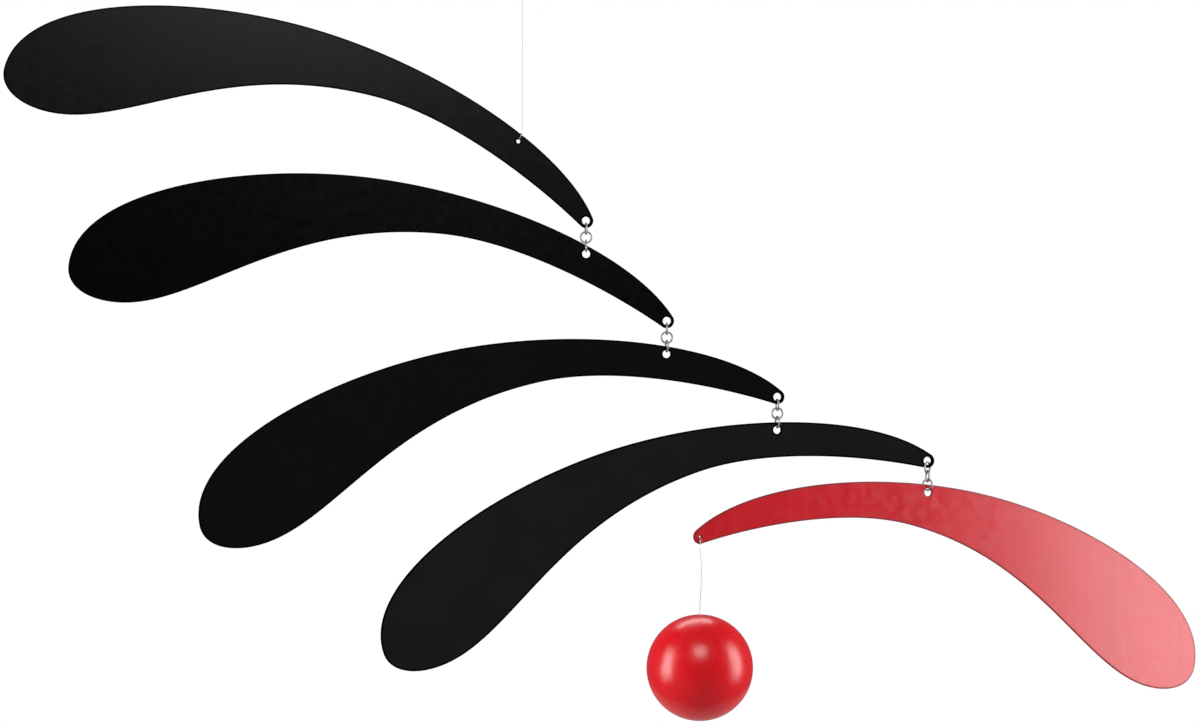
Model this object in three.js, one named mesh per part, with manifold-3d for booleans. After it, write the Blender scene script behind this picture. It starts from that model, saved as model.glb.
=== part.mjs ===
// Hanging baby mobile: four black sheet blades and a red one, one below the other,
// each hung from the tip of the one above by three jump rings. A red ball hangs from
// the red blade's tip, and the whole hangs by a thread from a small loop.
// Millimetres, +Z up, +X to the right and +Y away seen from the front. The origin is
// the point inside the top of the loop where a hook carries the mobile.

import * as THREE from 'three';
import { mergeVertices } from 'three/addons/utils/BufferGeometryUtils.js';
import Module from 'manifold-3d';

// Blades, all five cut to one outline
const bladeReach = 327.5; // from the tip hole's centre to the end of the round bulb
const bladeThickness = 1;
const tipRim = 1.8; // sheet left round a ring hole at the tip
const ringHolePlay = 1.7; // space between the ring's wire and its hole
const hangInset = 4.2; // from the upper edge in to a ring hole's centre
const threadHolePlay = 0.85; // space between the hanging thread and its hole
const threadHoleInset = 4; // from the upper edge in to the thread hole's centre
const tieLean = 14; // degrees that the tie round this edge stands nearer upright than square to it

// Jump rings
const ringWire = 1;
const ringSlack = 0.8; // free space inside a ring beside the sheet and the next ring

// Threads
const threadDiameter = 0.5;
const knotRadius = 0.75;
const hangingThreadLength = 78;
const ballThreadShown = 36.5; // from the knot under the tip to the ball's top
const ballThreadBow = 0.8; // the stiff thread stands this far off a straight line
const tipHolePlay = 0.3; // space between the ball's thread and its hole in the red tip
const loopHeight = 9; // inside the hanging loop
const loopWidth = 5;

// Ball
const ballDiameter = 57.8;
const ballHolePlay = 0.5; // space between the thread and the hole in the ball
const ballHoleDepth = 8;

const gap = 0.3; // between pieces that touch

// How each blade hangs. along is how far its hanging hole lies from the tip hole, as a share
// of bladeReach; tilt lifts its right-hand side and yaw turns that side away, in degrees.
const blades = [
  { name: 'blade_1', along: 0.1377, tilt: -14.5, yaw: 7.6, hand: -1, colour: 'black' },
  { name: 'blade_2', along: 0.1392, tilt: -5.2, yaw: 2.8, hand: -1, colour: 'black' },
  { name: 'blade_3', along: 0.1655, tilt: 12.2, yaw: 12.2, hand: -1, colour: 'black' },
  { name: 'blade_4', along: 0.233, tilt: 18.2, yaw: 17.2, hand: -1, colour: 'black' },
  { name: 'blade_5', along: 0.4085, tilt: -13.6, yaw: 28.4, hand: 1, colour: 'red' },
];

// How far the rings of each link are turned about the vertical, from the front view.
// A null ring stands square to its blade, or halfway between its two neighbours.
const links = [
  { top: null, middle: null, bottom: null },
  { top: null, middle: null, bottom: null },
  { top: null, middle: null, bottom: null },
  { top: 60, middle: 104, bottom: 148 },
];

// The outline's proportions, as shares of bladeReach, in the blade's own plane: the tip
// hole at the origin, the bulb along +X and the arched back along +Y. The curve stands
// level at the crown, the belly and the hollow, and upright at the end.
const crown = { x: 0.5435, y: 0.1933, before: 0.212, after: 0.209 };
const end = { x: 1, y: 0, before: 0.1232, after: 0.0325 };
const belly = { x: 0.9167, y: -0.0525, before: 0.0492, after: 0.1334 };
const hollow = { x: 0.3896, y: 0.1102, before: 0.2705, after: 0.1243 };
const tipBack = { angle: 142.5, handle: 0.1365 };
const tipUnder = { angle: -60.6, handle: 0.1145 };

const ringHoleRadius = ringWire / 2 + ringHolePlay;
const threadHoleRadius = threadDiameter / 2 + threadHolePlay;
const tipHoleRadius = threadDiameter / 2 + tipHolePlay;
const tipRadius = ringHoleRadius + tipRim;
const threadRadius = threadDiameter / 2;
const wireRadius = ringWire / 2;
const ballRadius = ballDiameter / 2;
const radians = THREE.MathUtils.degToRad;

const materials = {
  black: new THREE.MeshStandardMaterial({ color: 0x17181a, roughness: 0.5, metalness: 0 }),
  red: new THREE.MeshStandardMaterial({ color: 0xc42a34, roughness: 0.42, metalness: 0 }),
  ball: new THREE.MeshStandardMaterial({ color: 0xc9141f, roughness: 0.25, metalness: 0 }),
  steel: new THREE.MeshStandardMaterial({ color: 0xb8bbbe, roughness: 0.3, metalness: 0.9 }),
  thread: new THREE.MeshStandardMaterial({ color: 0xe6e7e8, roughness: 0.4, metalness: 0 }),
};

const mobile = new THREE.Group();
const wasm = await Module();
wasm.setup();

function addMesh(parent, name, geometry, material) {
  const mesh = new THREE.Mesh(geometry, material);
  mesh.name = name;
  parent.add(mesh);
  return mesh;
}

// A geometry with its doubled corners joined, as a closed body needs.
function welded(geometry) {
  const plain = geometry.clone();
  plain.deleteAttribute('normal');
  plain.deleteAttribute('uv');
  return mergeVertices(plain, 1e-4);
}

function toSolid(geometry) {
  const plain = welded(geometry);
  return new wasm.Manifold(new wasm.Mesh({
    numProp: 3,
    vertProperties: new Float32Array(plain.attributes.position.array),
    triVerts: new Uint32Array(plain.index.array),
  }));
}

function fromSolid(solid) {
  const { vertProperties, triVerts } = solid.getMesh();
  const geometry = new THREE.BufferGeometry();
  geometry.setAttribute('position', new THREE.BufferAttribute(vertProperties, 3));
  geometry.setIndex(new THREE.BufferAttribute(triVerts, 1));
  geometry.computeVertexNormals();
  return geometry;
}

// A point on the tip's round end, at an angle from the direction of the bulb.
function onTip(angle) {
  return new THREE.Vector2(Math.cos(radians(angle)), Math.sin(radians(angle))).multiplyScalar(tipRadius);
}

// The outline as five curves, from the tip's back over the crown and round to its underside.
function outlineCurves() {
  const at = (point, dx = 0, dy = 0) =>
    new THREE.Vector2(point.x + dx, point.y + dy).multiplyScalar(bladeReach);
  const start = onTip(tipBack.angle);
  const startAlong = onTip(tipBack.angle - 90).setLength(tipBack.handle * bladeReach);
  const finish = onTip(tipUnder.angle);
  const finishAlong = onTip(tipUnder.angle + 90).setLength(tipUnder.handle * bladeReach);
  return [
    new THREE.CubicBezierCurve(start, start.clone().add(startAlong), at(crown, -crown.before), at(crown)),
    new THREE.CubicBezierCurve(at(crown), at(crown, crown.after), at(end, 0, end.before), at(end)),
    new THREE.CubicBezierCurve(at(end), at(end, 0, -end.after), at(belly, belly.before), at(belly)),
    new THREE.CubicBezierCurve(at(belly), at(belly, -belly.after), at(hollow, hollow.before), at(hollow)),
    new THREE.CubicBezierCurve(at(hollow), at(hollow, -hollow.after), finish.clone().add(finishAlong), finish),
  ];
}

// The hole that a blade hangs by: in from its back by inset, at that share of its reach.
function hangingHole(along, inset) {
  const back = outlineCurves()[0];
  let low = 0;
  let high = 1;
  for (let step = 0; step < 40; step += 1) {
    const middle = (low + high) / 2;
    if (back.getPoint(middle).x < along * bladeReach) low = middle;
    else high = middle;
  }
  const edge = back.getPoint(low);
  const slope = back.getTangent(low);
  const outward = new THREE.Vector2(-slope.y, slope.x);
  return { centre: edge.clone().addScaledVector(outward, -inset), outward };
}

// A blade's flat shape, as wide round the tip hole whatever goes through it. hand is -1
// where the bulb lies to the left.
function bladeShape(hand, holes) {
  const segments = [16, 14, 10, 18, 10];
  const points = outlineCurves().flatMap((curve, index) => curve.getPoints(segments[index]).slice(0, -1));
  const tipSegments = 12;
  const sweep = 360 + tipUnder.angle - tipBack.angle;
  for (let step = 0; step < tipSegments; step += 1) {
    points.push(onTip(tipUnder.angle - (sweep * step) / tipSegments));
  }
  const shape = new THREE.Shape(points.map((point) => new THREE.Vector2(point.x * hand, point.y)));
  for (const { centre, radius } of holes) {
    shape.holes.push(new THREE.Path().absarc(centre.x * hand, centre.y, radius, 0, Math.PI * 2));
  }
  return shape;
}

// The sheet stands in the XZ plane, with its hanging hole at the origin.
function bladeGeometry(hand, hang, holes) {
  const geometry = new THREE.ExtrudeGeometry(bladeShape(hand, holes), {
    depth: bladeThickness, bevelEnabled: false, curveSegments: 10,
  });
  geometry.translate(-hang.centre.x * hand, -hang.centre.y, -bladeThickness / 2);
  return geometry.rotateX(Math.PI / 2);
}

// From a blade's own plane, seen from its hanging hole, to the frame's directions.
function turned(blade, x, y) {
  return new THREE.Vector3(x * blade.hand, 0, y)
    .applyAxisAngle(new THREE.Vector3(0, 1, 0), -radians(blade.tilt))
    .applyAxisAngle(new THREE.Vector3(0, 0, 1), radians(blade.yaw));
}

// How much sheet lies straight above a hanging ring hole, once the blade is tilted.
function sheetAbove(blade) {
  const { outward } = hangingHole(blade.along, hangInset);
  return hangInset / turned(blade, outward.x, outward.y).z - ringHoleRadius;
}

const widestRim = Math.max(tipRim, ...blades.slice(1).map(sheetAbove));
const ringInside = (widestRim + ringWire + 2 * gap + ringSlack) / 2; // the ring's inner radius
const ringRadius = ringInside + wireRadius;
const ringStep = 2 * ringInside - gap; // from one ring's centre to the next

// How far a ring's centre lies from the edge of the hole that it passes through. turn is
// the angle between the ring and the sheet.
function seat(turn) {
  const lean = Math.abs(Math.sin(radians(turn)));
  const across = (bladeThickness / 2 + wireRadius * Math.abs(Math.cos(radians(turn)))) / lean;
  const side = Math.min(across * Math.abs(Math.cos(radians(turn))), ringHoleRadius * 0.7);
  const rise = ringHoleRadius - Math.sqrt(ringHoleRadius ** 2 - side ** 2);
  return Math.sqrt((ringInside - gap) ** 2 - across ** 2) - rise;
}

function addRing(name, centre, turn) {
  const ring = addMesh(mobile, name, welded(new THREE.TorusGeometry(ringRadius, wireRadius, 8, 20)), materials.steel);
  ring.position.copy(centre);
  ring.rotation.set(Math.PI / 2, 0, radians(turn), 'ZYX');
  return ring;
}

// Three rings from a tip hole down to the next blade; gives that blade's hanging hole.
function addLink(number, tipHole, upper, lower) {
  const given = links[number - 1];
  const top = given.top ?? upper.yaw + 90;
  const bottom = given.bottom ?? lower.yaw + 90;
  const middle = given.middle ?? (top + bottom) / 2 + 90;
  const centre = tipHole.clone();
  centre.z -= ringHoleRadius + seat(top - upper.yaw);
  addRing(`ring_${number}_top`, centre, top);
  centre.z -= ringStep;
  addRing(`ring_${number}_middle`, centre, middle);
  centre.z -= ringStep;
  addRing(`ring_${number}_bottom`, centre, bottom);
  centre.z -= seat(bottom - lower.yaw) + ringHoleRadius;
  return centre;
}

// A closed loop of thread with a knot at one end of it. The loop lies in the XZ plane with
// the knot at its foot, and its corners are squared so that it clears what it goes round.
function loopAndKnot(halfWidth, halfHeight, squareness) {
  const corners = 20;
  const points = Array.from({ length: corners }, (_, index) => {
    const angle = (index / corners) * Math.PI * 2;
    const across = Math.sign(Math.cos(angle)) * Math.abs(Math.cos(angle)) ** squareness;
    const up = Math.sign(Math.sin(angle)) * Math.abs(Math.sin(angle)) ** squareness;
    return new THREE.Vector3(across * halfWidth, 0, up * halfHeight);
  });
  const path = new THREE.CatmullRomCurve3(points, true);
  const loop = new THREE.TubeGeometry(path, 24, threadRadius, 6, true);
  const knot = new THREE.SphereGeometry(knotRadius, 10, 6).translate(0, 0, -halfHeight - knotRadius / 2);
  return fromSolid(toSolid(loop).add(toSolid(knot)));
}

// A loop tied tight round the strip of sheet between a thread hole and the edge. outward
// points from the hole to the edge; gives the knot's centre.
function addTie(name, blade, hole, outward, holeRadius, rimEnd) {
  const halfHeight = (rimEnd - holeRadius) / 2 + gap + threadRadius;
  const halfWidth = bladeThickness / 2 + gap + threadRadius;
  const tie = addMesh(mobile, name, loopAndKnot(halfWidth, halfHeight, 0.5), materials.thread);
  const down = outward.clone().negate();
  const across = turned(blade, 1, 0).cross(turned(blade, 0, 1));
  tie.quaternion.setFromRotationMatrix(new THREE.Matrix4().makeBasis(across, down.clone().cross(across), down));
  tie.position.copy(hole).addScaledVector(outward, (rimEnd + holeRadius) / 2);
  return tie.position.clone().addScaledVector(outward, halfHeight + knotRadius / 2);
}

function threadGeometry(points, steps) {
  const section = new THREE.Shape().absarc(0, 0, threadRadius, 0, Math.PI * 2);
  return new THREE.ExtrudeGeometry(section, {
    steps, curveSegments: 4, bevelEnabled: false, extrudePath: new THREE.CatmullRomCurve3(points),
  });
}

// The loop that goes on a hook, with its knot, and the thread that hangs from it
const loopCentre = -loopHeight / 2;
const hangingLoop = loopAndKnot(loopWidth / 2 + threadRadius, loopHeight / 2 + threadRadius, 0.8);
addMesh(mobile, 'hanging_loop', hangingLoop, materials.thread).position.z = loopCentre;
const threadTop = -loopHeight - threadDiameter / 2 - 1.5 * knotRadius - gap;
const threadFoot = threadTop - hangingThreadLength;
const plumb = (z) => new THREE.Vector3(0, 0, z);
addMesh(mobile, 'hanging_thread', threadGeometry([plumb(threadTop), plumb(threadFoot)], 20), materials.thread);

// Each blade hangs below the last one, so its place follows from the pieces above it
let hangPoint = new THREE.Vector3();
let tipHole = new THREE.Vector3();
blades.forEach((blade, index) => {
  const onThread = index === 0;
  const last = index === blades.length - 1;
  const hang = hangingHole(blade.along, onThread ? threadHoleInset : hangInset);
  if (onThread) {
    const toKnot = hang.outward.clone().rotateAround(new THREE.Vector2(), radians(tieLean) * blade.hand);
    const outward = turned(blade, toKnot.x, toKnot.y);
    const rimEnd = threadHoleInset / Math.cos(radians(tieLean));
    const knotFromHole = rimEnd + gap + threadRadius + knotRadius / 2;
    hangPoint.set(0, 0, threadFoot - gap - knotRadius).addScaledVector(outward, -knotFromHole);
    addTie('hanging_tie', blade, hangPoint, outward, threadHoleRadius, rimEnd);
  } else {
    hangPoint = addLink(index, tipHole, blades[index - 1], blade);
  }
  const geometry = bladeGeometry(blade.hand, hang, [
    { centre: hang.centre, radius: onThread ? threadHoleRadius : ringHoleRadius },
    { centre: new THREE.Vector2(0, 0), radius: last ? tipHoleRadius : ringHoleRadius },
  ]);
  const mesh = addMesh(mobile, blade.name, geometry, materials[blade.colour]);
  mesh.position.copy(hangPoint);
  mesh.rotation.set(0, -radians(blade.tilt), radians(blade.yaw), 'ZYX');
  tipHole = hangPoint.clone().add(turned(blade, -hang.centre.x, -hang.centre.y));
});

// The ball's thread is tied round the red blade's tip and ends in a hole in the ball
const below = new THREE.Vector3(0, 0, -1);
const tieKnot = addTie('ball_tie', blades[blades.length - 1], tipHole, below, tipHoleRadius, tipRadius);
const ballTop = tieKnot.z - knotRadius - ballThreadShown;
const atBall = (side, z) => new THREE.Vector3(tieKnot.x + side, tieKnot.y, z);
const ballThread = threadGeometry([
  atBall(0, tieKnot.z - knotRadius - gap),
  atBall(ballThreadBow, ballTop + ballThreadShown * 0.78),
  atBall(ballThreadBow, ballTop + ballThreadShown * 0.48),
  atBall(ballThreadBow * 0.35, ballTop + ballThreadShown * 0.2),
  atBall(0, ballTop),
  atBall(0, ballTop - ballHoleDepth + gap),
], 24);
addMesh(mobile, 'ball_thread', ballThread, materials.thread);

const ballHoleRadius = threadRadius + ballHolePlay;
const wholeBall = toSolid(new THREE.SphereGeometry(ballRadius, 32, 20).rotateX(Math.PI / 2));
const ballHole = new THREE.CylinderGeometry(ballHoleRadius, ballHoleRadius, 2 * ballHoleDepth, 12)
  .rotateX(Math.PI / 2).translate(0, 0, ballRadius);
const ball = addMesh(mobile, 'ball', fromSolid(wholeBall.subtract(toSolid(ballHole))), materials.ball);
ball.position.copy(atBall(0, ballTop - ballRadius));

export default mobile;
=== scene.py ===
"""Builds the hanging mobile over its CAD frame: lacquered sheet blades, jump rings, threads and the ball.

Lengths are in metres and angles in degrees. +Z is up, +X to the right and +Y away from the camera.
"""

import math

import bmesh
import bpy
from bpy.props import FloatProperty, FloatVectorProperty, PointerProperty
from mathutils import Matrix, Vector
from mathutils.geometry import interpolate_bezier


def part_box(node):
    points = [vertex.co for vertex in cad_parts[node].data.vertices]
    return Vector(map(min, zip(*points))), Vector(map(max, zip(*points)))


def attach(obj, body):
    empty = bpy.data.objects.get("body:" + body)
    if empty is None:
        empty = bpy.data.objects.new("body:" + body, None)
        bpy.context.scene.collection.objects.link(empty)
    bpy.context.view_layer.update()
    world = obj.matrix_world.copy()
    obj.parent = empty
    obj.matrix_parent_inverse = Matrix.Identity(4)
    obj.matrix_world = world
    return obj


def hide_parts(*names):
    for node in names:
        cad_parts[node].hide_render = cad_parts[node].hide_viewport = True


bl_info = {
    "name": "Hanging Mobile",
    "version": (1, 0, 0),
    "blender": (4, 5, 0),
    "location": "3D View > Sidebar > Mobile",
    "description": "Builds a hanging mobile of curved sheet blades, rings, threads and a ball",
    "category": "Add Mesh",
}

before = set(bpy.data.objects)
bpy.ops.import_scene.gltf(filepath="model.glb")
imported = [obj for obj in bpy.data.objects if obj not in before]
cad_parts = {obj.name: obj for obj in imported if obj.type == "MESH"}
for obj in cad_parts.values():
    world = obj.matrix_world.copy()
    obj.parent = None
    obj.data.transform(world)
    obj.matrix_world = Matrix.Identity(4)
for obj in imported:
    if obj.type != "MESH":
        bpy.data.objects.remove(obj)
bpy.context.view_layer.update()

# The blade's outline, as shares of its reach: the tip hole at the origin, the bulb along +X
# and the arched back along +Y. before and after are how far the curve's handles stand off.
# The steps are how many points each curve, the tip and the search for the hanging hole get.
CROWN = {"x": 0.5435, "y": 0.1933, "before": 0.212, "after": 0.209}
END = {"x": 1.0, "y": 0.0, "before": 0.1232, "after": 0.0325}
BELLY = {"x": 0.9167, "y": -0.0525, "before": 0.0492, "after": 0.1334}
HOLLOW = {"x": 0.3896, "y": 0.1102, "before": 0.2705, "after": 0.1243}
TIP_BACK = {"angle": 142.5, "handle": 0.1365}
TIP_UNDER = {"angle": -60.6, "handle": 0.1145}
OUTLINE_STEPS = (56, 48, 32, 60, 34)
TIP_STEPS = 36
BACK_STEPS = 600

# How each blade hangs. along is how far its hanging hole lies from the tip hole, as a share of
# its reach, hand is -1 where the bulb is on the left, tilt lifts the right-hand side and yaw
# turns that side away. The colour factor multiplies the lacquer's colour. It is painted light and
# shade that makes each blade lighter or darker as the lamps fall on it, not a difference in its lacquer.
BLADES = [
    {"node": "blade_1", "along": 0.1377, "tilt": -14.5, "yaw": 7.6, "hand": -1,
     "colour": "black", "painted_lighting": 0.9},
    {"node": "blade_2", "along": 0.1392, "tilt": -5.2, "yaw": 2.8, "hand": -1,
     "colour": "black", "painted_lighting": 0.12},
    {"node": "blade_3", "along": 0.1655, "tilt": 12.2, "yaw": 12.2, "hand": -1,
     "colour": "black", "painted_lighting": 1.0},
    {"node": "blade_4", "along": 0.233, "tilt": 18.2, "yaw": 17.2, "hand": -1,
     "colour": "black", "painted_lighting": 3.0},
    {"node": "blade_5", "along": 0.4085, "tilt": -13.6, "yaw": 28.4, "hand": 1,
     "colour": "red", "painted_lighting": 1.0},
]
RING_HOLE_INSET = 0.0042
THREAD_HOLE_INSET = 0.004
TIE_LEAN = 14.0
HOLE_SIDES = 40

# How each lacquer came out: how cloudy its colour is, its smoothest and its roughest gloss, how
# deep its peel is, how much it mirrors and, on the red sheet, how strong its faint lines are.
LACQUERS = {
    "black face": {"cloud": 0.10, "smoothest": 0.22, "roughest": 0.28, "peel": 0.5, "specular": 0.105},
    "black rim": {"cloud": 0.06, "smoothest": 0.30, "roughest": 0.36, "peel": 0.4, "specular": 0.03},
    "red face": {"cloud": 0.03, "smoothest": 0.18, "roughest": 0.25, "peel": 0.5, "specular": 0.5,
                 "streak": 0.035},
    "red rim": {"cloud": 0.04, "smoothest": 0.30, "roughest": 0.36, "peel": 0.4, "specular": 0.35},
    "ball": {"cloud": 0.02, "smoothest": 0.26, "roughest": 0.30, "peel": 0.25, "specular": 0.5},
}

# The rings of each link, from the top down: how far each is turned about the vertical
# and where round it the cut ends of its wire meet. The ends' bevel is a share of the wire.
RINGS = [
    {"node": "ring_1_top", "turn": 97.6, "cut": 35.0},
    {"node": "ring_1_middle", "turn": 185.2, "cut": 160.0},
    {"node": "ring_1_bottom", "turn": 92.8, "cut": 330.0},
    {"node": "ring_2_top", "turn": 92.8, "cut": 210.0},
    {"node": "ring_2_middle", "turn": 187.5, "cut": 15.0},
    {"node": "ring_2_bottom", "turn": 102.2, "cut": 145.0},
    {"node": "ring_3_top", "turn": 102.2, "cut": 325.0},
    {"node": "ring_3_middle", "turn": 194.7, "cut": 200.0},
    {"node": "ring_3_bottom", "turn": 107.2, "cut": 40.0},
    {"node": "ring_4_top", "turn": 60.0, "cut": 155.0},
    {"node": "ring_4_middle", "turn": 104.0, "cut": 345.0},
    {"node": "ring_4_bottom", "turn": 148.0, "cut": 205.0},
]
CUT_BEVEL = 0.06

# Where the threads lie, as in the part's source. Pieces that hang in each other stand a gap apart.
HANGING_THREAD = [(0.0, 0.0, -0.088675), (0.0, 0.0, -0.010675)]
HOOK_LOOP = [
    (0.0, 0.00025), (0.0019, -0.0006), (0.0027, -0.0030), (0.0017, -0.0064), (0.0003, -0.0090),
    (-0.0003, -0.0090), (-0.0017, -0.0064), (-0.0027, -0.0030), (-0.0019, -0.0006),
]
LOOP_KNOT = Vector((0.0, 0.0, -0.009625))
BALL_THREAD_BOW = 0.0008
BALL_THREAD_SHOWN = 0.0365
BALL_HOLE_DEPTH = 0.008
GAP = 0.0003

# The bowed part of the ball's thread: the share of the bow it stands off by, and its height above
# the ball as a share of the thread that shows
BALL_THREAD_BENDS = [(1.0, 0.78), (1.0, 0.48), (0.35, 0.2)]

# The knots: how often their thread wraps round, their height in thread diameters, and where
# round each the wraps begin, in radians
KNOT_TURNS = 2.6
KNOT_HEIGHT = 2.1
KNOT_STARTS = {"hook_loop": 0.4, "top_tie": 2.2, "ball_tie_nylon": 0.9}
POINTS_PER_TURN = 10

# How much of each nylon is clear, from 0 for milky to 1
MILKY_CLEARNESS = 0.25
CLEAR_CLEARNESS = 1.0

# The soft lights, aimed at the ball. off_black keeps a box from the black sheets, which would
# flash white edge on, and unmirrored keeps one out of every gloss.
SOFTBOXES = [
    {"name": "left strip", "watts": 8.6, "size": (0.58, 1.15), "off_black": True,
     "place": (-0.9755, -0.231, -0.245)},
    {"name": "left core", "watts": 4.1, "size": (0.36, 0.65), "off_black": True,
     "place": (-0.9487, -0.303, -0.245)},
    {"name": "right box", "watts": 4.2, "size": (0.42, 1.0), "off_black": True,
     "place": (0.948, -0.085, -0.23)},
    {"name": "right core", "watts": 3.0, "size": (0.40, 0.6), "off_black": True,
     "place": (0.938, -0.085, -0.23)},
    {"name": "overhead box", "watts": 7.0, "size": (0.82, 0.46), "place": (-0.02, 0.577, 0.658)},
    {"name": "front dish", "watts": 3.4, "size": (0.45, 0.45), "round": True,
     "place": (0.096, -0.777, 0.196)},
    {"name": "low panel", "watts": 0.75, "size": (1.0, 0.8), "place": (0.096, 0.364, -0.839)},
    {"name": "floor bounce", "watts": 13.0, "size": (3.0, 3.0), "unmirrored": True,
     "place": (0.096, -0.02, -1.09)},
]
LIT_POINT = Vector((0.0964, -0.0227, -0.380))
SIDE_LIT = "side lit"
FLOOR_LIT = "floor lit"
FLOOR_RADIUS = 5.0


class MobileBladeSettings(bpy.types.PropertyGroup):
    """The sizes and colours of the sheet blades"""

    reach: FloatProperty(
        name="Reach", description="From the tip hole's centre to the end of the bulb",
        default=0.3275, min=0.05, unit="LENGTH")
    thickness: FloatProperty(
        name="Thickness", description="Thickness of the sheet",
        default=0.001, min=0.0003, unit="LENGTH")
    tip_radius: FloatProperty(
        name="Tip Radius", description="Radius of the rounded tip round its hole",
        default=0.004, min=0.001, unit="LENGTH")
    ring_hole: FloatProperty(
        name="Ring Hole", description="Radius of the holes that the rings pass through",
        default=0.0022, min=0.0005, unit="LENGTH")
    thread_hole: FloatProperty(
        name="Thread Hole", description="Radius of the hole that the hanging thread passes through",
        default=0.0011, min=0.0003, unit="LENGTH")
    tip_hole: FloatProperty(
        name="Tip Hole", description="Radius of the red blade's hole for the ball's thread",
        default=0.00055, min=0.0003, unit="LENGTH")
    # Painted shade: a band this wide round each face takes the darker rim colour, standing for the edge in
    # shade.
    rim_width: FloatProperty(
        name="Rim Width", description="Width of the darker rim where the lacquer runs over the edge",
        default=0.0009, min=0.0001, unit="LENGTH")
    edge_round: FloatProperty(
        name="Edge Round", description="How far the cut edges are rounded over",
        default=0.00028, min=0.00005, unit="LENGTH")
    black: FloatVectorProperty(
        name="Black", description="Colour of the black lacquer",
        default=(0.005, 0.005, 0.005), min=0.0, max=1.0, subtype="COLOR")
    # Painted shade: this darker black on the rim band and cut edges stands for the edge in shade.
    black_rim_shade: FloatVectorProperty(
        name="Black Rim", description="Colour of the black lacquer over the edge",
        default=(0.0004, 0.0004, 0.0004), min=0.0, max=1.0, subtype="COLOR")
    red: FloatVectorProperty(
        name="Red", description="Colour of the red lacquer",
        default=(0.49, 0.004, 0.0115), min=0.0, max=1.0, subtype="COLOR")
    # Painted shade: this darker red on the rim band and cut edges stands for the edge in shade.
    red_rim_shade: FloatVectorProperty(
        name="Red Rim", description="Colour of the red lacquer over the edge",
        default=(0.24, 0.004, 0.008), min=0.0, max=1.0, subtype="COLOR")


class MobileRingSettings(bpy.types.PropertyGroup):
    """The sizes and colour of the jump rings"""

    wire: FloatProperty(
        name="Wire", description="Diameter of the rings' wire",
        default=0.001, min=0.0002, unit="LENGTH")
    radius: FloatProperty(
        name="Radius", description="Radius of a ring at the middle of its wire",
        default=0.003, min=0.0005, unit="LENGTH")
    cut_gap: FloatProperty(
        name="Cut Gap", description="Angle left open where the wire's ends meet",
        default=math.radians(2.6), min=0.0, subtype="ANGLE")
    steel: FloatVectorProperty(
        name="Steel", description="Colour of the ring wire",
        default=(0.40, 0.385, 0.365), min=0.0, max=1.0, subtype="COLOR")


class MobileThreadSettings(bpy.types.PropertyGroup):
    """The size and colour of the threads and their knots"""

    diameter: FloatProperty(
        name="Diameter", description="Diameter of the thread",
        default=0.0005, min=0.0003, unit="LENGTH")
    knot: FloatProperty(
        name="Knot", description="Radius of a knot",
        default=0.00075, min=0.0003, unit="LENGTH")
    milky: FloatVectorProperty(
        name="Milky Nylon", description="Colour of the threads as far as they are milky",
        default=(0.74, 0.745, 0.75), min=0.0, max=1.0, subtype="COLOR")
    clear: FloatVectorProperty(
        name="Clear Nylon", description="Colour of the clear loop and ties",
        default=(0.95, 0.955, 0.96), min=0.0, max=1.0, subtype="COLOR")


class MobileBallSettings(bpy.types.PropertyGroup):
    """The size and colour of the ball"""

    diameter: FloatProperty(
        name="Diameter", description="Diameter of the ball",
        default=0.0578, min=0.01, unit="LENGTH")
    hole: FloatProperty(
        name="Hole", description="Radius of the hole that the thread enters",
        default=0.00075, min=0.0003, unit="LENGTH")
    red: FloatVectorProperty(
        name="Red", description="Colour of the ball",
        default=(0.68, 0.0025, 0.009), min=0.0, max=1.0, subtype="COLOR")


class MobileStageSettings(bpy.types.PropertyGroup):
    """The camera, the lights and the floor"""

    camera_distance: FloatProperty(
        name="Camera Distance", description="How far in front of the hook the camera stands",
        default=4.08975, min=0.5, unit="LENGTH")
    camera_height: FloatProperty(
        name="Camera Height", description="Height of the camera in the mobile's frame",
        default=-0.2151, unit="LENGTH")
    camera_side: FloatProperty(
        name="Camera Side", description="How far the camera stands to the right",
        default=0.04234, unit="LENGTH")
    lens: FloatProperty(
        name="Lens", description="Focal length on a sensor 36 mm wide",
        default=225.0, min=10.0, unit="CAMERA")
    fill: FloatProperty(
        name="Fill", description="Strength of the even light from all round",
        default=0.14, min=0.0, subtype="FACTOR")
    floor_drop: FloatProperty(
        name="Floor Drop", description="How far the floor lies below the hook",
        default=1.1, min=0.5, unit="LENGTH")
    floor_wash: FloatProperty(
        name="Floor Wash", description="Strength of the light that falls on the floor alone",
        default=2.6, min=0.0)
    floor_colour: FloatVectorProperty(
        name="Floor Colour", description="Colour of the studio floor",
        default=(0.80, 0.80, 0.80), min=0.0, max=1.0, subtype="COLOR")


# Materials


def add_socket(group, name, kind, in_out, value=None):
    """Gives a node group one named input or output."""
    socket = group.interface.new_socket(name=name, in_out=in_out, socket_type=kind)
    if value is not None:
        socket.default_value = value
    return socket


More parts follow.
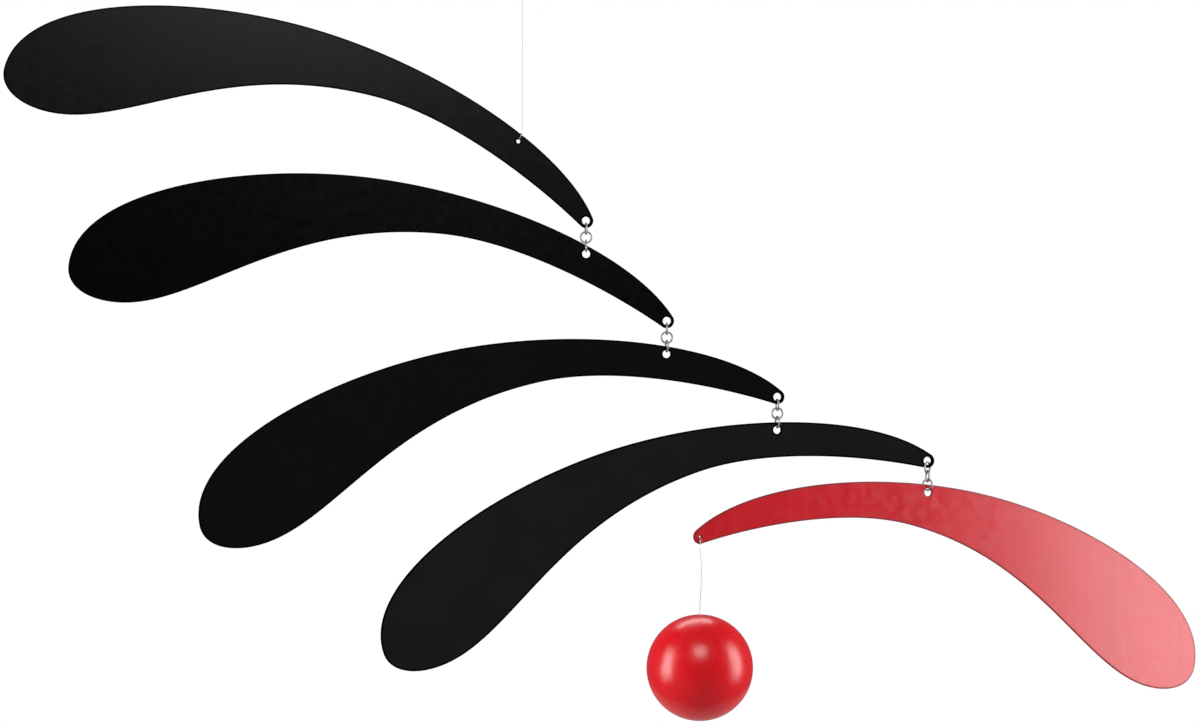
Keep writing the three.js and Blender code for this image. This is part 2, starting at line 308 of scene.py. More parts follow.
def lacquer_surface():
    """The sprayed surface of the blades and the ball: cloudy colour, uneven gloss and a fine peel."""
    found = bpy.data.node_groups.get("Lacquer Surface")
    if found:
        return found
    group = bpy.data.node_groups.new("Lacquer Surface", "ShaderNodeTree")
    add_socket(group, "Color", "NodeSocketColor", "INPUT", (0.5, 0.5, 0.5, 1.0))
    add_socket(group, "Cloud", "NodeSocketFloat", "INPUT", 0.05)
    add_socket(group, "Smoothest", "NodeSocketFloat", "INPUT", 0.3)
    add_socket(group, "Roughest", "NodeSocketFloat", "INPUT", 0.4)
    add_socket(group, "Peel", "NodeSocketFloat", "INPUT", 0.05)
    add_socket(group, "Color", "NodeSocketColor", "OUTPUT")
    add_socket(group, "Roughness", "NodeSocketFloat", "OUTPUT")
    add_socket(group, "Height", "NodeSocketFloat", "OUTPUT")
    nodes = group.nodes
    link = group.links.new
    inputs = nodes.new("NodeGroupInput")
    outputs = nodes.new("NodeGroupOutput")
    place = nodes.new("ShaderNodeTexCoord")

    clouds = nodes.new("ShaderNodeTexNoise")
    clouds.inputs["Scale"].default_value = 38.0
    clouds.inputs["Detail"].default_value = 3.0
    link(place.outputs["Object"], clouds.inputs["Vector"])
    shade = nodes.new("ShaderNodeMapRange")
    shade.inputs["From Min"].default_value = 0.3
    shade.inputs["From Max"].default_value = 0.7
    link(clouds.outputs["Fac"], shade.inputs["Value"])
    darker = nodes.new("ShaderNodeMath")
    darker.operation = "SUBTRACT"
    darker.inputs[0].default_value = 1.0
    link(inputs.outputs["Cloud"], darker.inputs[1])
    lighter = nodes.new("ShaderNodeMath")
    lighter.operation = "ADD"
    lighter.inputs[0].default_value = 1.0
    link(inputs.outputs["Cloud"], lighter.inputs[1])
    link(darker.outputs[0], shade.inputs["To Min"])
    link(lighter.outputs[0], shade.inputs["To Max"])
    tint = nodes.new("ShaderNodeVectorMath")
    tint.operation = "SCALE"
    link(inputs.outputs["Color"], tint.inputs[0])
    link(shade.outputs["Result"], tint.inputs["Scale"])
    link(tint.outputs["Vector"], outputs.inputs["Color"])

    flow = nodes.new("ShaderNodeTexNoise")
    flow.inputs["Scale"].default_value = 210.0
    flow.inputs["Detail"].default_value = 4.0
    link(place.outputs["Object"], flow.inputs["Vector"])
    gloss = nodes.new("ShaderNodeMapRange")
    gloss.inputs["From Min"].default_value = 0.35
    gloss.inputs["From Max"].default_value = 0.65
    link(flow.outputs["Fac"], gloss.inputs["Value"])
    link(inputs.outputs["Smoothest"], gloss.inputs["To Min"])
    link(inputs.outputs["Roughest"], gloss.inputs["To Max"])
    link(gloss.outputs["Result"], outputs.inputs["Roughness"])

    dimples = nodes.new("ShaderNodeTexNoise")
    dimples.inputs["Scale"].default_value = 1100.0
    dimples.inputs["Detail"].default_value = 1.5
    link(place.outputs["Object"], dimples.inputs["Vector"])
    peel = nodes.new("ShaderNodeMath")
    peel.operation = "MULTIPLY"
    link(dimples.outputs["Fac"], peel.inputs[0])
    link(inputs.outputs["Peel"], peel.inputs[1])
    link(peel.outputs[0], outputs.inputs["Height"])
    return group


def drawn_surface():
    """The fine unevenness of a wire or a thread drawn through a die, as a height and a mask."""
    found = bpy.data.node_groups.get("Drawn Surface")
    if found:
        return found
    group = bpy.data.node_groups.new("Drawn Surface", "ShaderNodeTree")
    add_socket(group, "Fineness", "NodeSocketFloat", "INPUT", 2400.0)
    add_socket(group, "Depth", "NodeSocketFloat", "INPUT", 0.1)
    add_socket(group, "Height", "NodeSocketFloat", "OUTPUT")
    add_socket(group, "Mask", "NodeSocketFloat", "OUTPUT")
    nodes = group.nodes
    link = group.links.new
    inputs = nodes.new("NodeGroupInput")
    outputs = nodes.new("NodeGroupOutput")
    place = nodes.new("ShaderNodeTexCoord")
    grain = nodes.new("ShaderNodeTexNoise")
    grain.inputs["Detail"].default_value = 3.0
    grain.inputs["Roughness"].default_value = 0.6
    link(place.outputs["Object"], grain.inputs["Vector"])
    link(inputs.outputs["Fineness"], grain.inputs["Scale"])
    height = nodes.new("ShaderNodeMath")
    height.operation = "MULTIPLY"
    link(grain.outputs["Fac"], height.inputs[0])
    link(inputs.outputs["Depth"], height.inputs[1])
    link(height.outputs[0], outputs.inputs["Height"])
    link(grain.outputs["Fac"], outputs.inputs["Mask"])
    return group


def new_material(name):
    """A fresh material, its nodes, the way to link them and its Principled shader."""
    material = bpy.data.materials.new(name)
    material.use_nodes = True
    nodes = material.node_tree.nodes
    shader = nodes["Principled BSDF"]
    return material, nodes, material.node_tree.links.new, shader


def darkened(nodes, link, mask, colour, share):
    """The colour, taken down to a share of itself where a mask is low."""
    tone = nodes.new("ShaderNodeMix")
    tone.data_type = "RGBA"
    tone.inputs["A"].default_value = (*[share * part for part in colour], 1.0)
    tone.inputs["B"].default_value = (*colour, 1.0)
    link(mask, tone.inputs["Factor"])
    return tone.outputs["Result"]


def lacquer(name, colour, cloud, smoothest, roughest, peel, specular, streak=0.0):
    """Sprayed lacquer on sheet, or the ball's finish. streak draws faint upright lines in it."""
    material, nodes, link, shader = new_material(name)
    surface = nodes.new("ShaderNodeGroup")
    surface.node_tree = lacquer_surface()
    surface.inputs["Color"].default_value = (*colour, 1.0)
    surface.inputs["Cloud"].default_value = cloud
    surface.inputs["Smoothest"].default_value = smoothest
    surface.inputs["Roughest"].default_value = roughest
    surface.inputs["Peel"].default_value = peel
    bump = nodes.new("ShaderNodeBump")
    bump.inputs["Strength"].default_value = 0.12
    bump.inputs["Distance"].default_value = 0.0002
    link(surface.outputs["Height"], bump.inputs["Height"])
    link(bump.outputs["Normal"], shader.inputs["Normal"])
    link(surface.outputs["Roughness"], shader.inputs["Roughness"])
    shader.inputs["Specular IOR Level"].default_value = specular
    if not streak:
        link(surface.outputs["Color"], shader.inputs["Base Color"])
        return material
    place = nodes.new("ShaderNodeTexCoord")
    stretch = nodes.new("ShaderNodeMapping")
    stretch.inputs["Scale"].default_value = (150.0, 150.0, 4.0)
    lines = nodes.new("ShaderNodeTexNoise")
    lines.inputs["Scale"].default_value = 1.0
    lines.inputs["Detail"].default_value = 2.0
    link(place.outputs["Object"], stretch.inputs["Vector"])
    link(stretch.outputs["Vector"], lines.inputs["Vector"])
    depth = nodes.new("ShaderNodeMapRange")
    depth.inputs["From Min"].default_value = 0.3
    depth.inputs["From Max"].default_value = 0.7
    depth.inputs["To Min"].default_value = 1.0 - streak
    depth.inputs["To Max"].default_value = 1.0 + streak
    link(lines.outputs["Fac"], depth.inputs["Value"])
    faint = nodes.new("ShaderNodeVectorMath")
    faint.operation = "SCALE"
    link(surface.outputs["Color"], faint.inputs[0])
    link(depth.outputs["Result"], faint.inputs["Scale"])
    link(faint.outputs["Vector"], shader.inputs["Base Color"])
    return material


def drawn(name, colour, share, smoothest, roughest, grain, relief):
    """Wire or thread drawn through a die, a little uneven in its surface, gloss and colour.

    grain is how fine and how deep that is, and relief the strength and distance of its bump.
    """
    material, nodes, link, shader = new_material(name)
    surface = nodes.new("ShaderNodeGroup")
    surface.node_tree = drawn_surface()
    surface.inputs["Fineness"].default_value = grain[0]
    surface.inputs["Depth"].default_value = grain[1]
    bump = nodes.new("ShaderNodeBump")
    bump.inputs["Strength"].default_value = relief[0]
    bump.inputs["Distance"].default_value = relief[1]
    link(surface.outputs["Height"], bump.inputs["Height"])
    link(bump.outputs["Normal"], shader.inputs["Normal"])
    gloss = nodes.new("ShaderNodeMapRange")
    gloss.inputs["To Min"].default_value = smoothest
    gloss.inputs["To Max"].default_value = roughest
    mask = surface.outputs["Mask"]
    link(mask, gloss.inputs["Value"])
    link(gloss.outputs["Result"], shader.inputs["Roughness"])
    link(darkened(nodes, link, mask, colour, share), shader.inputs["Base Color"])
    return material, shader


def ring_steel(name, colour):
    """Bright drawn wire with a slightly dulled skin."""
    material, shader = drawn(
        name, colour, share=0.88, smoothest=0.50, roughest=0.62, grain=(1800.0, 0.4),
        relief=(0.15, 0.00005))
    shader.inputs["Metallic"].default_value = 1.0
    return material


def nylon(name, colour, clearness):
    """Monofilament, clear or slightly milky, with a little unevenness left by drawing it."""
    material, shader = drawn(
        name, colour, share=0.98, smoothest=0.06, roughest=0.14, grain=(300.0, 0.2),
        relief=(0.02, 0.00001))
    shader.inputs["IOR"].default_value = 1.53
    shader.inputs["Transmission Weight"].default_value = clearness
    return material


def shared_material(name, make, *values, **options):
    """The material of that name, made the first time it is asked for."""
    return bpy.data.materials.get(name) or make(name, *values, **options)


def blade_materials(blade):
    """The face lacquer of one blade, its colour scaled by painted light and shade, and the rim lacquer of
    its colour, darkened as painted shade.
    """
    settings = bpy.context.scene.mobile_blades
    colour = blade["colour"]
    plain, rim_shade_tone = {
        "black": (settings.black, settings.black_rim_shade),
        "red": (settings.red, settings.red_rim_shade),
    }[colour]
    # Painted light and shade: each blade's colour is scaled up or down to stand for how the lamps fall on
    # it.
    painted_lit_colour = [blade["painted_lighting"] * part for part in plain]
    face = lacquer(blade["node"] + " lacquer", painted_lit_colour, **LACQUERS[colour + " face"])
    # Painted shade: the rim lacquer's colour is darker than the face's, standing for the edge in shade.
    rim = shared_material(colour + " lacquer rim", lacquer, rim_shade_tone, **LACQUERS[colour + " rim"])
    return face, rim


# Meshes and curves


def cad_centre(node):
    """The middle of a CAD node's box."""
    low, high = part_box(node)
    return (Vector(low) + Vector(high)) / 2


def box_centre(points):
    """The middle of the box round some points."""
    axes = list(zip(*points))
    return Vector([(min(values) + max(values)) / 2 for values in axes])


def lit_group(name):
    """The collection of objects that some of the lights are kept to."""
    return bpy.data.collections.get(name) or bpy.data.collections.new(name)


def finish_piece(name, mesh, materials, slot, *nodes):
    """Makes the mesh a piece that stands for its CAD nodes and hangs with the mobile."""
    piece = bpy.data.objects.new(name, mesh)
    bpy.context.scene.collection.objects.link(piece)
    if slot != "black_lacquer":
        lit_group(SIDE_LIT).objects.link(piece)
    for material in materials:
        mesh.materials.append(material)
    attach(piece, "root")
    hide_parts(*nodes)
    return piece


def mesh_of(name, work):
    """A smooth-shaded mesh from a bmesh, which is used up."""
    for face in work.faces:
        face.smooth = True
    mesh = bpy.data.meshes.new(name)
    work.to_mesh(mesh)
    work.free()
    return mesh


# Blades


def on_tip(angle, radius):
    """A point on the blade's rounded tip."""
    return Vector((math.cos(math.radians(angle)) * radius, math.sin(math.radians(angle)) * radius, 0.0))


def outline_curves(reach, tip_radius):
    """The blade's outline but for its tip, as five curves of four points each."""
    def at(point, dx=0.0, dy=0.0):
        return Vector(((point["x"] + dx) * reach, (point["y"] + dy) * reach, 0.0))

    start = on_tip(TIP_BACK["angle"], tip_radius)
    start_handle = start + on_tip(TIP_BACK["angle"] - 90, TIP_BACK["handle"] * reach)
    finish = on_tip(TIP_UNDER["angle"], tip_radius)
    finish_handle = finish + on_tip(TIP_UNDER["angle"] + 90, TIP_UNDER["handle"] * reach)
    return [
        (start, start_handle, at(CROWN, -CROWN["before"]), at(CROWN)),
        (at(CROWN), at(CROWN, CROWN["after"]), at(END, 0, END["before"]), at(END)),
        (at(END), at(END, 0, -END["after"]), at(BELLY, BELLY["before"]), at(BELLY)),
        (at(BELLY), at(BELLY, -BELLY["after"]), at(HOLLOW, HOLLOW["before"]), at(HOLLOW)),
        (at(HOLLOW), at(HOLLOW, -HOLLOW["after"]), finish_handle, finish),
    ]


def outline_points(settings):
    """The whole outline as a closed line of points."""
    points = []
    for curve, count in zip(outline_curves(settings.reach, settings.tip_radius), OUTLINE_STEPS):
        points.extend(interpolate_bezier(*curve, count)[:-1])
    sweep = 360 + TIP_UNDER["angle"] - TIP_BACK["angle"]
    for step in range(TIP_STEPS):
        points.append(on_tip(TIP_UNDER["angle"] - sweep * step / TIP_STEPS, settings.tip_radius))
    return points


def hanging_hole(settings, along, inset):
    """The centre of the hole that a blade hangs by, and the way from it square to the edge."""
    back = interpolate_bezier(*outline_curves(settings.reach, settings.tip_radius)[0], BACK_STEPS)
    wanted = along * settings.reach
    nearest = min(range(1, len(back) - 1), key=lambda index: abs(back[index].x - wanted))
    run = (back[nearest + 1] - back[nearest - 1]).normalized()
    outward = Vector((-run.y, run.x, 0.0))
    return back[nearest] - outward * inset, outward


def hang_inset(blade):
    """How far in from the edge a blade's hanging hole lies."""
    return THREAD_HOLE_INSET if blade["node"] == "blade_1" else RING_HOLE_INSET


def blade_turn(blade):
    """The rotation from the blade's flat outline to how it hangs."""
    upright = Matrix.Rotation(math.radians(90), 4, "X")
    tilt = Matrix.Rotation(math.radians(-blade["tilt"]), 4, "Y")
    yaw = Matrix.Rotation(math.radians(blade["yaw"]), 4, "Z")
    mirror = Matrix.Diagonal((blade["hand"], 1.0, 1.0, 1.0))
    return yaw @ tilt @ upright @ mirror


def blade_place(blade):
    """Takes the flat outline to where the CAD blade hangs."""
    settings = bpy.context.scene.mobile_blades
    turn = blade_turn(blade)
    centre = box_centre([turn @ point for point in outline_points(settings)])
    return Matrix.Translation(cad_centre(blade["node"]) - centre) @ turn


def blade_mesh(blade):
    """A blade cut from sheet, with its holes, its darker rim of painted shade and its rounded edges."""
    settings = bpy.context.scene.mobile_blades
    hung_by_ring = blade["node"] != "blade_1"
    ends_in_ring = blade["node"] != "blade_5"
    hole, _ = hanging_hole(settings, blade["along"], hang_inset(blade))
    work = bmesh.new()
    border = [work.verts.new(point) for point in outline_points(settings)]
    for first, second in zip(border, border[1:] + border[:1]):
        work.edges.new((first, second))
    holes = (
        (hole, settings.ring_hole if hung_by_ring else settings.thread_hole),
        (Vector(), settings.ring_hole if ends_in_ring else settings.tip_hole),
    )
    for centre, radius in holes:
        bmesh.ops.create_circle(
            work, cap_ends=False, segments=HOLE_SIDES, matrix=Matrix.Translation(centre), radius=radius)
    bmesh.ops.triangle_fill(work, use_beauty=True, use_dissolve=False, edges=work.edges[:])
    # Painted shade: a band round every edge and hole takes the darker rim lacquer, standing for the edge
    # in shade.
    rim = bmesh.ops.inset_region(
        work, faces=work.faces[:], use_boundary=True, use_even_offset=True, thickness=settings.rim_width)
    for face in rim["faces"]:
        face.material_index = 1
    bmesh.ops.solidify(work, geom=work.faces[:], thickness=settings.thickness)
    work.normal_update()
    # The cut walls take the same darker rim lacquer, which is painted shade too.
    steep = 0.5
    for face in work.faces:
        if abs(face.normal.z) < steep:
            face.material_index = 1
    corners = [
        edge for edge in work.edges
        if len(edge.link_faces) == 2
        and abs(abs(edge.link_faces[0].normal.z) - abs(edge.link_faces[1].normal.z)) > steep
    ]
    bmesh.ops.bevel(
        work, geom=corners, offset=settings.edge_round, offset_type="OFFSET", segments=3,
        profile=0.5, affect="EDGES", clamp_overlap=True, material=-1)
    middle = (min(vert.co.z for vert in work.verts) + max(vert.co.z for vert in work.verts)) / 2
    bmesh.ops.translate(work, verts=work.verts, vec=(0.0, 0.0, -middle))
    bmesh.ops.transform(work, matrix=blade_place(blade), verts=work.verts)
    bmesh.ops.recalc_face_normals(work, faces=work.faces)
    return mesh_of(blade["node"] + "_sheet", work)


class MOBILE_OT_blades(bpy.types.Operator):
    """Cuts the sheet blades and hangs them where the CAD blades are"""

    bl_idname = "mobile.blades"
    bl_label = "Sheet Blades"

    def execute(self, context):
        for blade in BLADES:
            finish_piece(
                blade["node"] + "_sheet", blade_mesh(blade), blade_materials(blade),
                blade["colour"] + "_lacquer", blade["node"])
        return {"FINISHED"}


# Rings


def ring_mesh(ring):
    """A jump ring bent from wire, with its cut ends nearly meeting."""
    settings = bpy.context.scene.mobile_rings
    work = bmesh.new()
    bmesh.ops.create_circle(
        work, cap_ends=False, segments=18, radius=settings.wire / 2,
        matrix=Matrix.Translation((settings.radius, 0.0, 0.0)) @ Matrix.Rotation(math.radians(90), 4, "X"))
    bmesh.ops.spin(
        work, geom=work.edges[:], cent=(0.0, 0.0, 0.0), axis=(0.0, 0.0, 1.0),
        angle=math.tau - settings.cut_gap, steps=72, use_merge=False)
    ends = [edge for edge in work.edges if edge.is_boundary]
    bmesh.ops.holes_fill(work, edges=ends, sides=0)
    bmesh.ops.recalc_face_normals(work, faces=work.faces)
    bmesh.ops.bevel(
        work, geom=ends, offset=settings.wire * CUT_BEVEL, offset_type="OFFSET", segments=2,
        profile=0.5, affect="EDGES", clamp_overlap=True, material=-1)
    turn = (
        Matrix.Rotation(math.radians(ring["turn"]), 4, "Z")
        @ Matrix.Rotation(math.radians(90), 4, "X")
        @ Matrix.Rotation(math.radians(ring["cut"]), 4, "Z")
    )
    place = Matrix.Translation(cad_centre(ring["node"])) @ turn
    bmesh.ops.transform(work, matrix=place, verts=work.verts)
    return mesh_of(ring["node"] + "_wire", work)


class MOBILE_OT_rings(bpy.types.Operator):
    """Bends the jump rings of every link"""

    bl_idname = "mobile.rings"
    bl_label = "Jump Rings"

    def execute(self, context):
        steel = shared_material("ring steel", ring_steel, context.scene.mobile_rings.steel)
        for ring in RINGS:
            finish_piece(ring["node"] + "_wire", ring_mesh(ring), [steel], "ring_wire", ring["node"])
        return {"FINISHED"}


# Threads


def add_line(curve, points, closed=False):
    """Adds a smooth line to a curve."""
    spline = curve.splines.new("BEZIER")
    spline.bezier_points.add(len(points) - 1)
    for bezier_point, point in zip(spline.bezier_points, points):
        bezier_point.co = point
        bezier_point.handle_left_type = "AUTO"
        bezier_point.handle_right_type = "AUTO"
    spline.use_cyclic_u = closed


def thread_curve(name, points):
    """A round thread along smooth points, as a curve of one open spline."""
    curve = bpy.data.curves.new(name, "CURVE")
    curve.dimensions = "3D"
    curve.bevel_depth = bpy.context.scene.mobile_threads.diameter / 2
    curve.bevel_resolution = 3
    curve.resolution_u = 10
    curve.use_fill_caps = True
    add_line(curve, points)
    return curve


def wrap_points(centre, radius, height, start):
    """A coil of thread about an upright line, which ends in a short tag that stands out."""
    count = int(KNOT_TURNS * POINTS_PER_TURN)
    points = []
    for step in range(count + 1):
        angle = math.tau * KNOT_TURNS * step / count + start
        rise = height * (step / count - 0.5)
        points.append(centre + Vector((math.cos(angle) * radius, math.sin(angle) * radius, rise)))
    run = (points[-1] - points[-2]).normalized()
    tag_length = radius * 1.1
    tag_rise = radius * 0.5
    points.append(points[-1] + run * tag_length + Vector((0.0, 0.0, tag_rise)))
    return points


def tied_mesh(name, loop, knot_centre, tail=None):
    """A loop of thread, the wraps of its knot and the end that runs on from it, as one mesh."""
    settings = bpy.context.scene.mobile_threads
    wrap_radius = settings.knot - settings.diameter / 2
    wraps = wrap_points(knot_centre, wrap_radius, settings.diameter * KNOT_HEIGHT, KNOT_STARTS[name])
    curve = thread_curve(name, wraps)
    add_line(curve, loop, closed=True)
    if tail:
        add_line(curve, tail)
    holder = bpy.data.objects.new(name + "_curve", curve)
    bpy.context.scene.collection.objects.link(holder)
    mesh = bpy.data.meshes.new_from_object(holder.evaluated_get(bpy.context.evaluated_depsgraph_get()))
    bpy.data.objects.remove(holder)
    bpy.data.curves.remove(curve)
    mesh.name = name
    for polygon in mesh.polygons:
        polygon.use_smooth = True
    return mesh


def tie_half_width():
    """How far a tie's thread stands off the middle of the sheet on either face."""
    sheet = bpy.context.scene.mobile_blades.thickness / 2
    slack = 1.3
    return sheet + bpy.context.scene.mobile_threads.diameter / 2 * slack


def tie_loop(hole, outward, across, start, finish):
    """A closed line of thread through a hole and over the rim beside it."""
    radius = bpy.context.scene.mobile_threads.diameter / 2
    half_width = tie_half_width()
    low = start - radius
    high = finish + radius
    corner = radius * 1.6
    ease = corner * 0.2
    low_side = half_width - corner * 0.3
    high_side = half_width - corner * 0.6
    line = [
        (0.0, low), (low_side, low + ease), (half_width, low + corner),
        (half_width, high - corner), (high_side, high - ease), (0.0, high),
        (-high_side, high - ease), (-half_width, high - corner),
        (-half_width, low + corner), (-low_side, low + ease),
    ]
    return [hole + across * side + outward * rise for side, rise in line]


def sheet_normal(blade):
    """The way that a hanging blade's flat face looks."""
    return blade_turn(blade).to_3x3() @ Vector((0, 0, 1))


def hanging_tie_places():
    """The top blade's thread hole, the way to its knot and how far the rim is that way."""
    blade = BLADES[0]
    settings = bpy.context.scene.mobile_blades
    hole, outward = hanging_hole(settings, blade["along"], hang_inset(blade))
    leaned = Matrix.Rotation(math.radians(TIE_LEAN) * blade["hand"], 3, "Z") @ outward
    rim_end = THREAD_HOLE_INSET / math.cos(math.radians(TIE_LEAN))
    return blade_place(blade) @ hole, blade_turn(blade).to_3x3() @ leaned, rim_end


def hang_top_thread(milky, clear):
    """Hangs the mobile's thread, with its loop for the hook and its tie in the top blade."""
    settings = bpy.context.scene.mobile_threads
    line = thread_curve("hanging_nylon", [Vector(point) for point in HANGING_THREAD])
    hanging = finish_piece("hanging_nylon", line, milky, "thread", "hanging_thread")
    teardrop = [Vector((side, 0.0, rise)) for side, rise in HOOK_LOOP]
    loop = finish_piece(
        "hook_loop", tied_mesh("hook_loop", teardrop, LOOP_KNOT), clear, "thread", "hanging_loop")

    hole, outward, rim_end = hanging_tie_places()
    thread_hole = bpy.context.scene.mobile_blades.thread_hole
    top_tie = tie_loop(hole, outward, sheet_normal(BLADES[0]), thread_hole, rim_end)
    knot = hole + outward * (rim_end + GAP + settings.diameter / 2 + settings.knot / 2)
    tie = finish_piece("top_tie", tied_mesh("top_tie", top_tie, knot), clear, "thread", "hanging_tie")


def hang_ball_thread(milky, clear):
    """Ties the ball's thread to the red blade's tip and runs it down into the ball."""
    settings = bpy.context.scene.mobile_threads
    blades = bpy.context.scene.mobile_blades
    radius = settings.diameter / 2
    tip = blade_place(BLADES[-1]) @ Vector()
    across = sheet_normal(BLADES[-1])
    towards_viewer = across if across.y < 0 else -across
    down = Vector((0.0, 0.0, -1.0))
    low_tie = tie_loop(tip, down, across, blades.tip_hole, blades.tip_radius)
    front = tip + towards_viewer * tie_half_width()
    front_knot = front + down * (blades.tip_hole + blades.tip_radius) * 0.5
    knot_foot = tip + down * (blades.tip_radius + GAP + radius + settings.knot * 1.5)
    tail = [
        front_knot, front + down * (blades.tip_radius - radius),
        (front + knot_foot + down * (blades.tip_radius + radius)) / 2, knot_foot + down * GAP / 2]
    ball_tie = finish_piece(
        "ball_tie_nylon", tied_mesh("ball_tie_nylon", low_tie, front_knot, tail),
        clear, "thread", "ball_tie")

    ball_top = knot_foot.z - BALL_THREAD_SHOWN
    bends = [
        (BALL_THREAD_BOW * bow, ball_top + BALL_THREAD_SHOWN * share) for bow, share in BALL_THREAD_BENDS]
    ends = [(0.0, ball_top), (0.0, ball_top - BALL_HOLE_DEPTH + GAP)]
    route = [
        Vector((knot_foot.x + side, knot_foot.y, height))
        for side, height in [(0.0, knot_foot.z - GAP)] + bends + ends]
    low = finish_piece(
        "ball_nylon", thread_curve("ball_nylon", route), milky, "thread", "ball_thread")


class MOBILE_OT_threads(bpy.types.Operator):
    """Hangs the threads, ties them and knots the loop at the top"""

    bl_idname = "mobile.threads"
    bl_label = "Threads and Knots"

    def execute(self, context):
        settings = context.scene.mobile_threads
        milky = [shared_material("milky nylon", nylon, settings.milky, MILKY_CLEARNESS)]
        clear = [shared_material("clear nylon", nylon, settings.clear, CLEAR_CLEARNESS)]
        hang_top_thread(milky, clear)
        hang_ball_thread(milky, clear)
        return {"FINISHED"}


# Ball


def ball_mesh():
    """The ball turned from its profile, with the thread's hole in its top."""
    settings = bpy.context.scene.mobile_ball
    radius = settings.diameter / 2
    lip_radius = settings.hole * 1.5
    lip_depth = settings.hole * 0.35
    lip_angle = math.asin(lip_radius / radius)
    work = bmesh.new()
    foot = work.verts.new((0.0, 0.0, -radius))
    arc = bmesh.ops.spin(
        work, geom=[foot], cent=(0.0, 0.0, 0.0), axis=(0.0, -1.0, 0.0),
        angle=math.pi - lip_angle, steps=88, use_merge=False)
    edge = [item for item in arc["geom_last"] if isinstance(item, bmesh.types.BMVert)][0]
    bore_top = (settings.hole, 0.0, edge.co.z - lip_depth)
    bore_foot = (settings.hole, 0.0, radius - BALL_HOLE_DEPTH)
    bore_end = (0.0, 0.0, radius - BALL_HOLE_DEPTH)
    for point in (bore_top, bore_foot, bore_end):
        corner = work.verts.new(point)
        work.edges.new((edge, corner))
        edge = corner
    bmesh.ops.spin(
        work, geom=work.verts[:] + work.edges[:], cent=(0.0, 0.0, 0.0), axis=(0.0, 0.0, 1.0),
        angle=math.tau, steps=144, use_merge=True)
    bmesh.ops.remove_doubles(work, verts=work.verts, dist=1e-7)
    bmesh.ops.recalc_face_normals(work, faces=work.faces)
    centre = cad_centre("ball")
    centre.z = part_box("ball")[0][2] + radius
    bmesh.ops.translate(work, verts=work.verts, vec=centre)
    return mesh_of("red_ball", work)


class MOBILE_OT_ball(bpy.types.Operator):
    """Turns the ball and hangs it on its thread"""

    bl_idname = "mobile.ball"
    bl_label = "Ball"

    def execute(self, context):
        colour = context.scene.mobile_ball.red
        gloss = shared_material("ball gloss", lacquer, colour, **LACQUERS["ball"])
        finish_piece("red_ball", ball_mesh(), [gloss], "red_ball", "ball")
        return {"FINISHED"}


# Stage


def add_softbox(box):
    """A soft area light aimed at the ball, unseen by the camera itself."""
    light = bpy.data.lights.new(box["name"], "AREA")
    light.shape = "DISK" if box.get("round") else "RECTANGLE"
    light.size, light.size_y = box["size"]
    light.energy = box["watts"]
    holder = bpy.data.objects.new(box["name"], light)
    bpy.context.scene.collection.objects.link(holder)
    place = Vector(box["place"])
    holder.location = place
    holder.rotation_euler = (LIT_POINT - place).to_track_quat("-Z", "Y").to_euler()
    holder.visible_camera = False
    holder.visible_glossy = not box.get("unmirrored")
    if box.get("off_black"):
        holder.light_linking.receiver_collection = lit_group(SIDE_LIT)


def wash_floor(floor, strength):
    """Lights the floor alone, from above. The pieces neither mirror it nor take light from it."""
    floor.visible_glossy = False
    floor.visible_diffuse = False
    lit_group(FLOOR_LIT).objects.link(floor)
    light = bpy.data.lights.new("floor wash", "SUN")
    light.energy = strength
    light.angle = math.radians(40)
    holder = bpy.data.objects.new("floor wash", light)
    bpy.context.scene.collection.objects.link(holder)
    holder.light_linking.receiver_collection = lit_group(FLOOR_LIT)


def light_surroundings(fill):
    """White behind the mobile as the camera sees it, and a low even light from all round."""
    world = bpy.data.worlds.new("studio")
    bpy.context.scene.world = world
    world.use_nodes = True
    nodes = world.node_tree.nodes
    link = world.node_tree.links.new
    nodes.clear()
    output = nodes.new("ShaderNodeOutputWorld")
    seen = nodes.new("ShaderNodeBackground")
    seen.inputs["Color"].default_value = (1.0, 1.0, 1.0, 1.0)
    seen.inputs["Strength"].default_value = 1.0
    around = nodes.new("ShaderNodeBackground")
    around.inputs["Color"].default_value = (1.0, 1.0, 1.0, 1.0)
    around.inputs["Strength"].default_value = fill
    ray = nodes.new("ShaderNodeLightPath")
    through = nodes.new("ShaderNodeMath")
    through.operation = "MAXIMUM"
    link(ray.outputs["Is Camera Ray"], through.inputs[0])
    link(ray.outputs["Is Transmission Ray"], through.inputs[1])
    mix = nodes.new("ShaderNodeMixShader")
    link(through.outputs[0], mix.inputs[0])
    link(around.outputs[0], mix.inputs[1])
    link(seen.outputs[0], mix.inputs[2])
    link(mix.outputs[0], output.inputs["Surface"])


def floor_material(colour):
    """Pale seamless studio floor with a faint unevenness."""
    material, nodes, link, shader = new_material("studio floor")
    place = nodes.new("ShaderNodeTexCoord")
    wear = nodes.new("ShaderNodeTexNoise")
    wear.inputs["Scale"].default_value = 1.2
    link(place.outputs["Object"], wear.inputs["Vector"])
    link(darkened(nodes, link, wear.outputs["Fac"], colour, 0.97), shader.inputs["Base Color"])
    shader.inputs["Roughness"].default_value = 0.8
    return material


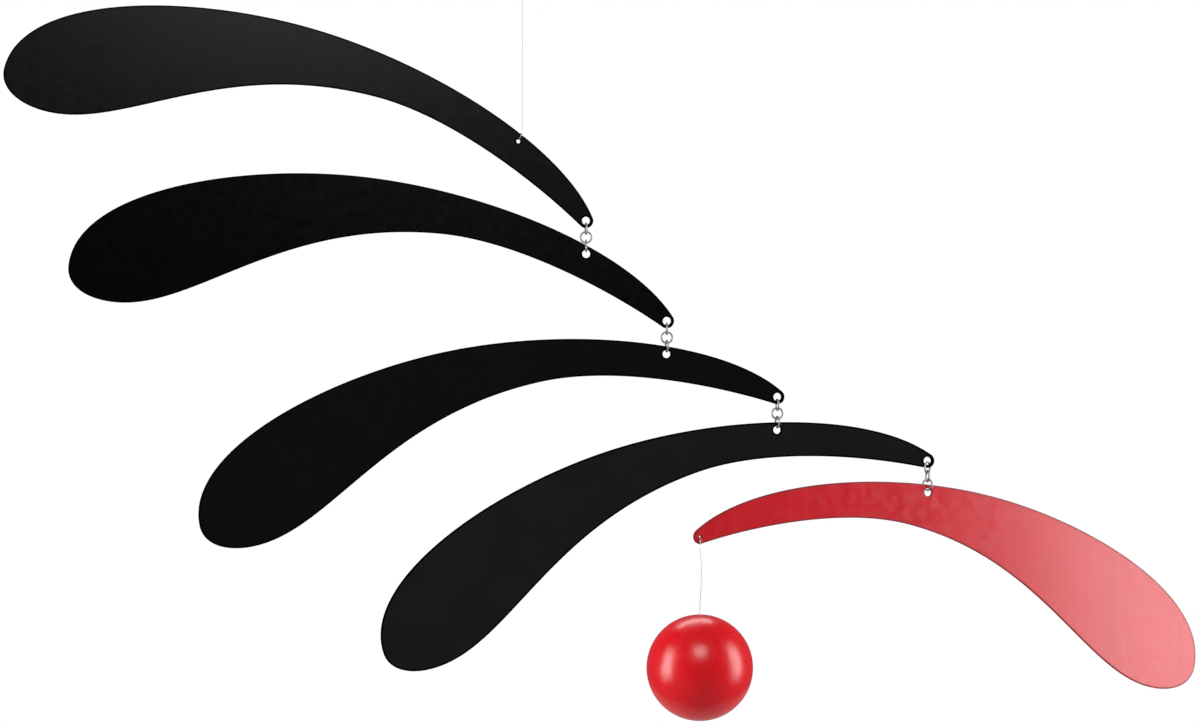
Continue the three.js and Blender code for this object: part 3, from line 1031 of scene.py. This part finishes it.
class MOBILE_OT_stage(bpy.types.Operator):
    """Sets the camera, the soft lights, the white surroundings and the floor"""

    bl_idname = "mobile.stage"
    bl_label = "Camera, Lights and Floor"

    def execute(self, context):
        settings = context.scene.mobile_stage
        camera = bpy.data.cameras.new("camera")
        camera.sensor_width = 36.0
        camera.lens = settings.lens
        camera.clip_end = 50.0
        holder = bpy.data.objects.new("camera", camera)
        context.scene.collection.objects.link(holder)
        holder.location = (settings.camera_side, -settings.camera_distance, settings.camera_height)
        holder.rotation_euler = (math.radians(90), 0.0, 0.0)
        context.scene.camera = holder
        context.scene.view_settings.view_transform = "Standard"

        light_surroundings(settings.fill)
        for box in SOFTBOXES:
            add_softbox(box)

        work = bmesh.new()
        bmesh.ops.create_circle(
            work, cap_ends=True, segments=96, radius=FLOOR_RADIUS,
            matrix=Matrix.Translation((0.0, 0.0, -settings.floor_drop)))
        mesh = bpy.data.meshes.new("studio_floor")
        work.to_mesh(mesh)
        work.free()
        mesh.materials.append(floor_material(settings.floor_colour))
        floor = bpy.data.objects.new("studio_floor", mesh)
        context.scene.collection.objects.link(floor)
        wash_floor(floor, settings.floor_wash)
        return {"FINISHED"}


class MOBILE_PT_panel(bpy.types.Panel):
    """Lists the mobile's pieces, each with its button and its sizes"""

    bl_idname = "MOBILE_PT_panel"
    bl_label = "Hanging Mobile"
    bl_space_type = "VIEW_3D"
    bl_region_type = "UI"
    bl_category = "Mobile"

    def draw(self, context):
        groups = (
            ("mobile.stage", context.scene.mobile_stage),
            ("mobile.threads", context.scene.mobile_threads),
            ("mobile.blades", context.scene.mobile_blades),
            ("mobile.rings", context.scene.mobile_rings),
            ("mobile.ball", context.scene.mobile_ball),
        )
        for operator, settings in groups:
            box = self.layout.box()
            box.operator(operator)
            for name in settings.__annotations__:
                box.prop(settings, name)


SETTINGS = {
    "mobile_blades": MobileBladeSettings,
    "mobile_rings": MobileRingSettings,
    "mobile_threads": MobileThreadSettings,
    "mobile_ball": MobileBallSettings,
    "mobile_stage": MobileStageSettings,
}
CLASSES = (
    MobileBladeSettings,
    MobileRingSettings,
    MobileThreadSettings,
    MobileBallSettings,
    MobileStageSettings,
    MOBILE_OT_stage,
    MOBILE_OT_threads,
    MOBILE_OT_blades,
    MOBILE_OT_rings,
    MOBILE_OT_ball,
    MOBILE_PT_panel,
)


def register():
    """Registers the classes and gives the scene its settings."""
    for cls in CLASSES:
        bpy.utils.register_class(cls)
    for name, cls in SETTINGS.items():
        setattr(bpy.types.Scene, name, PointerProperty(type=cls))


def unregister():
    """Takes the settings and the classes away again."""
    for name in SETTINGS:
        delattr(bpy.types.Scene, name)
    for cls in reversed(CLASSES):
        bpy.utils.unregister_class(cls)


def main():
    """Builds the whole mobile."""
    register()
    bpy.ops.mobile.stage()
    bpy.ops.mobile.threads()
    bpy.ops.mobile.blades()
    bpy.ops.mobile.rings()
    bpy.ops.mobile.ball()


if __name__ == "__main__":
    main()
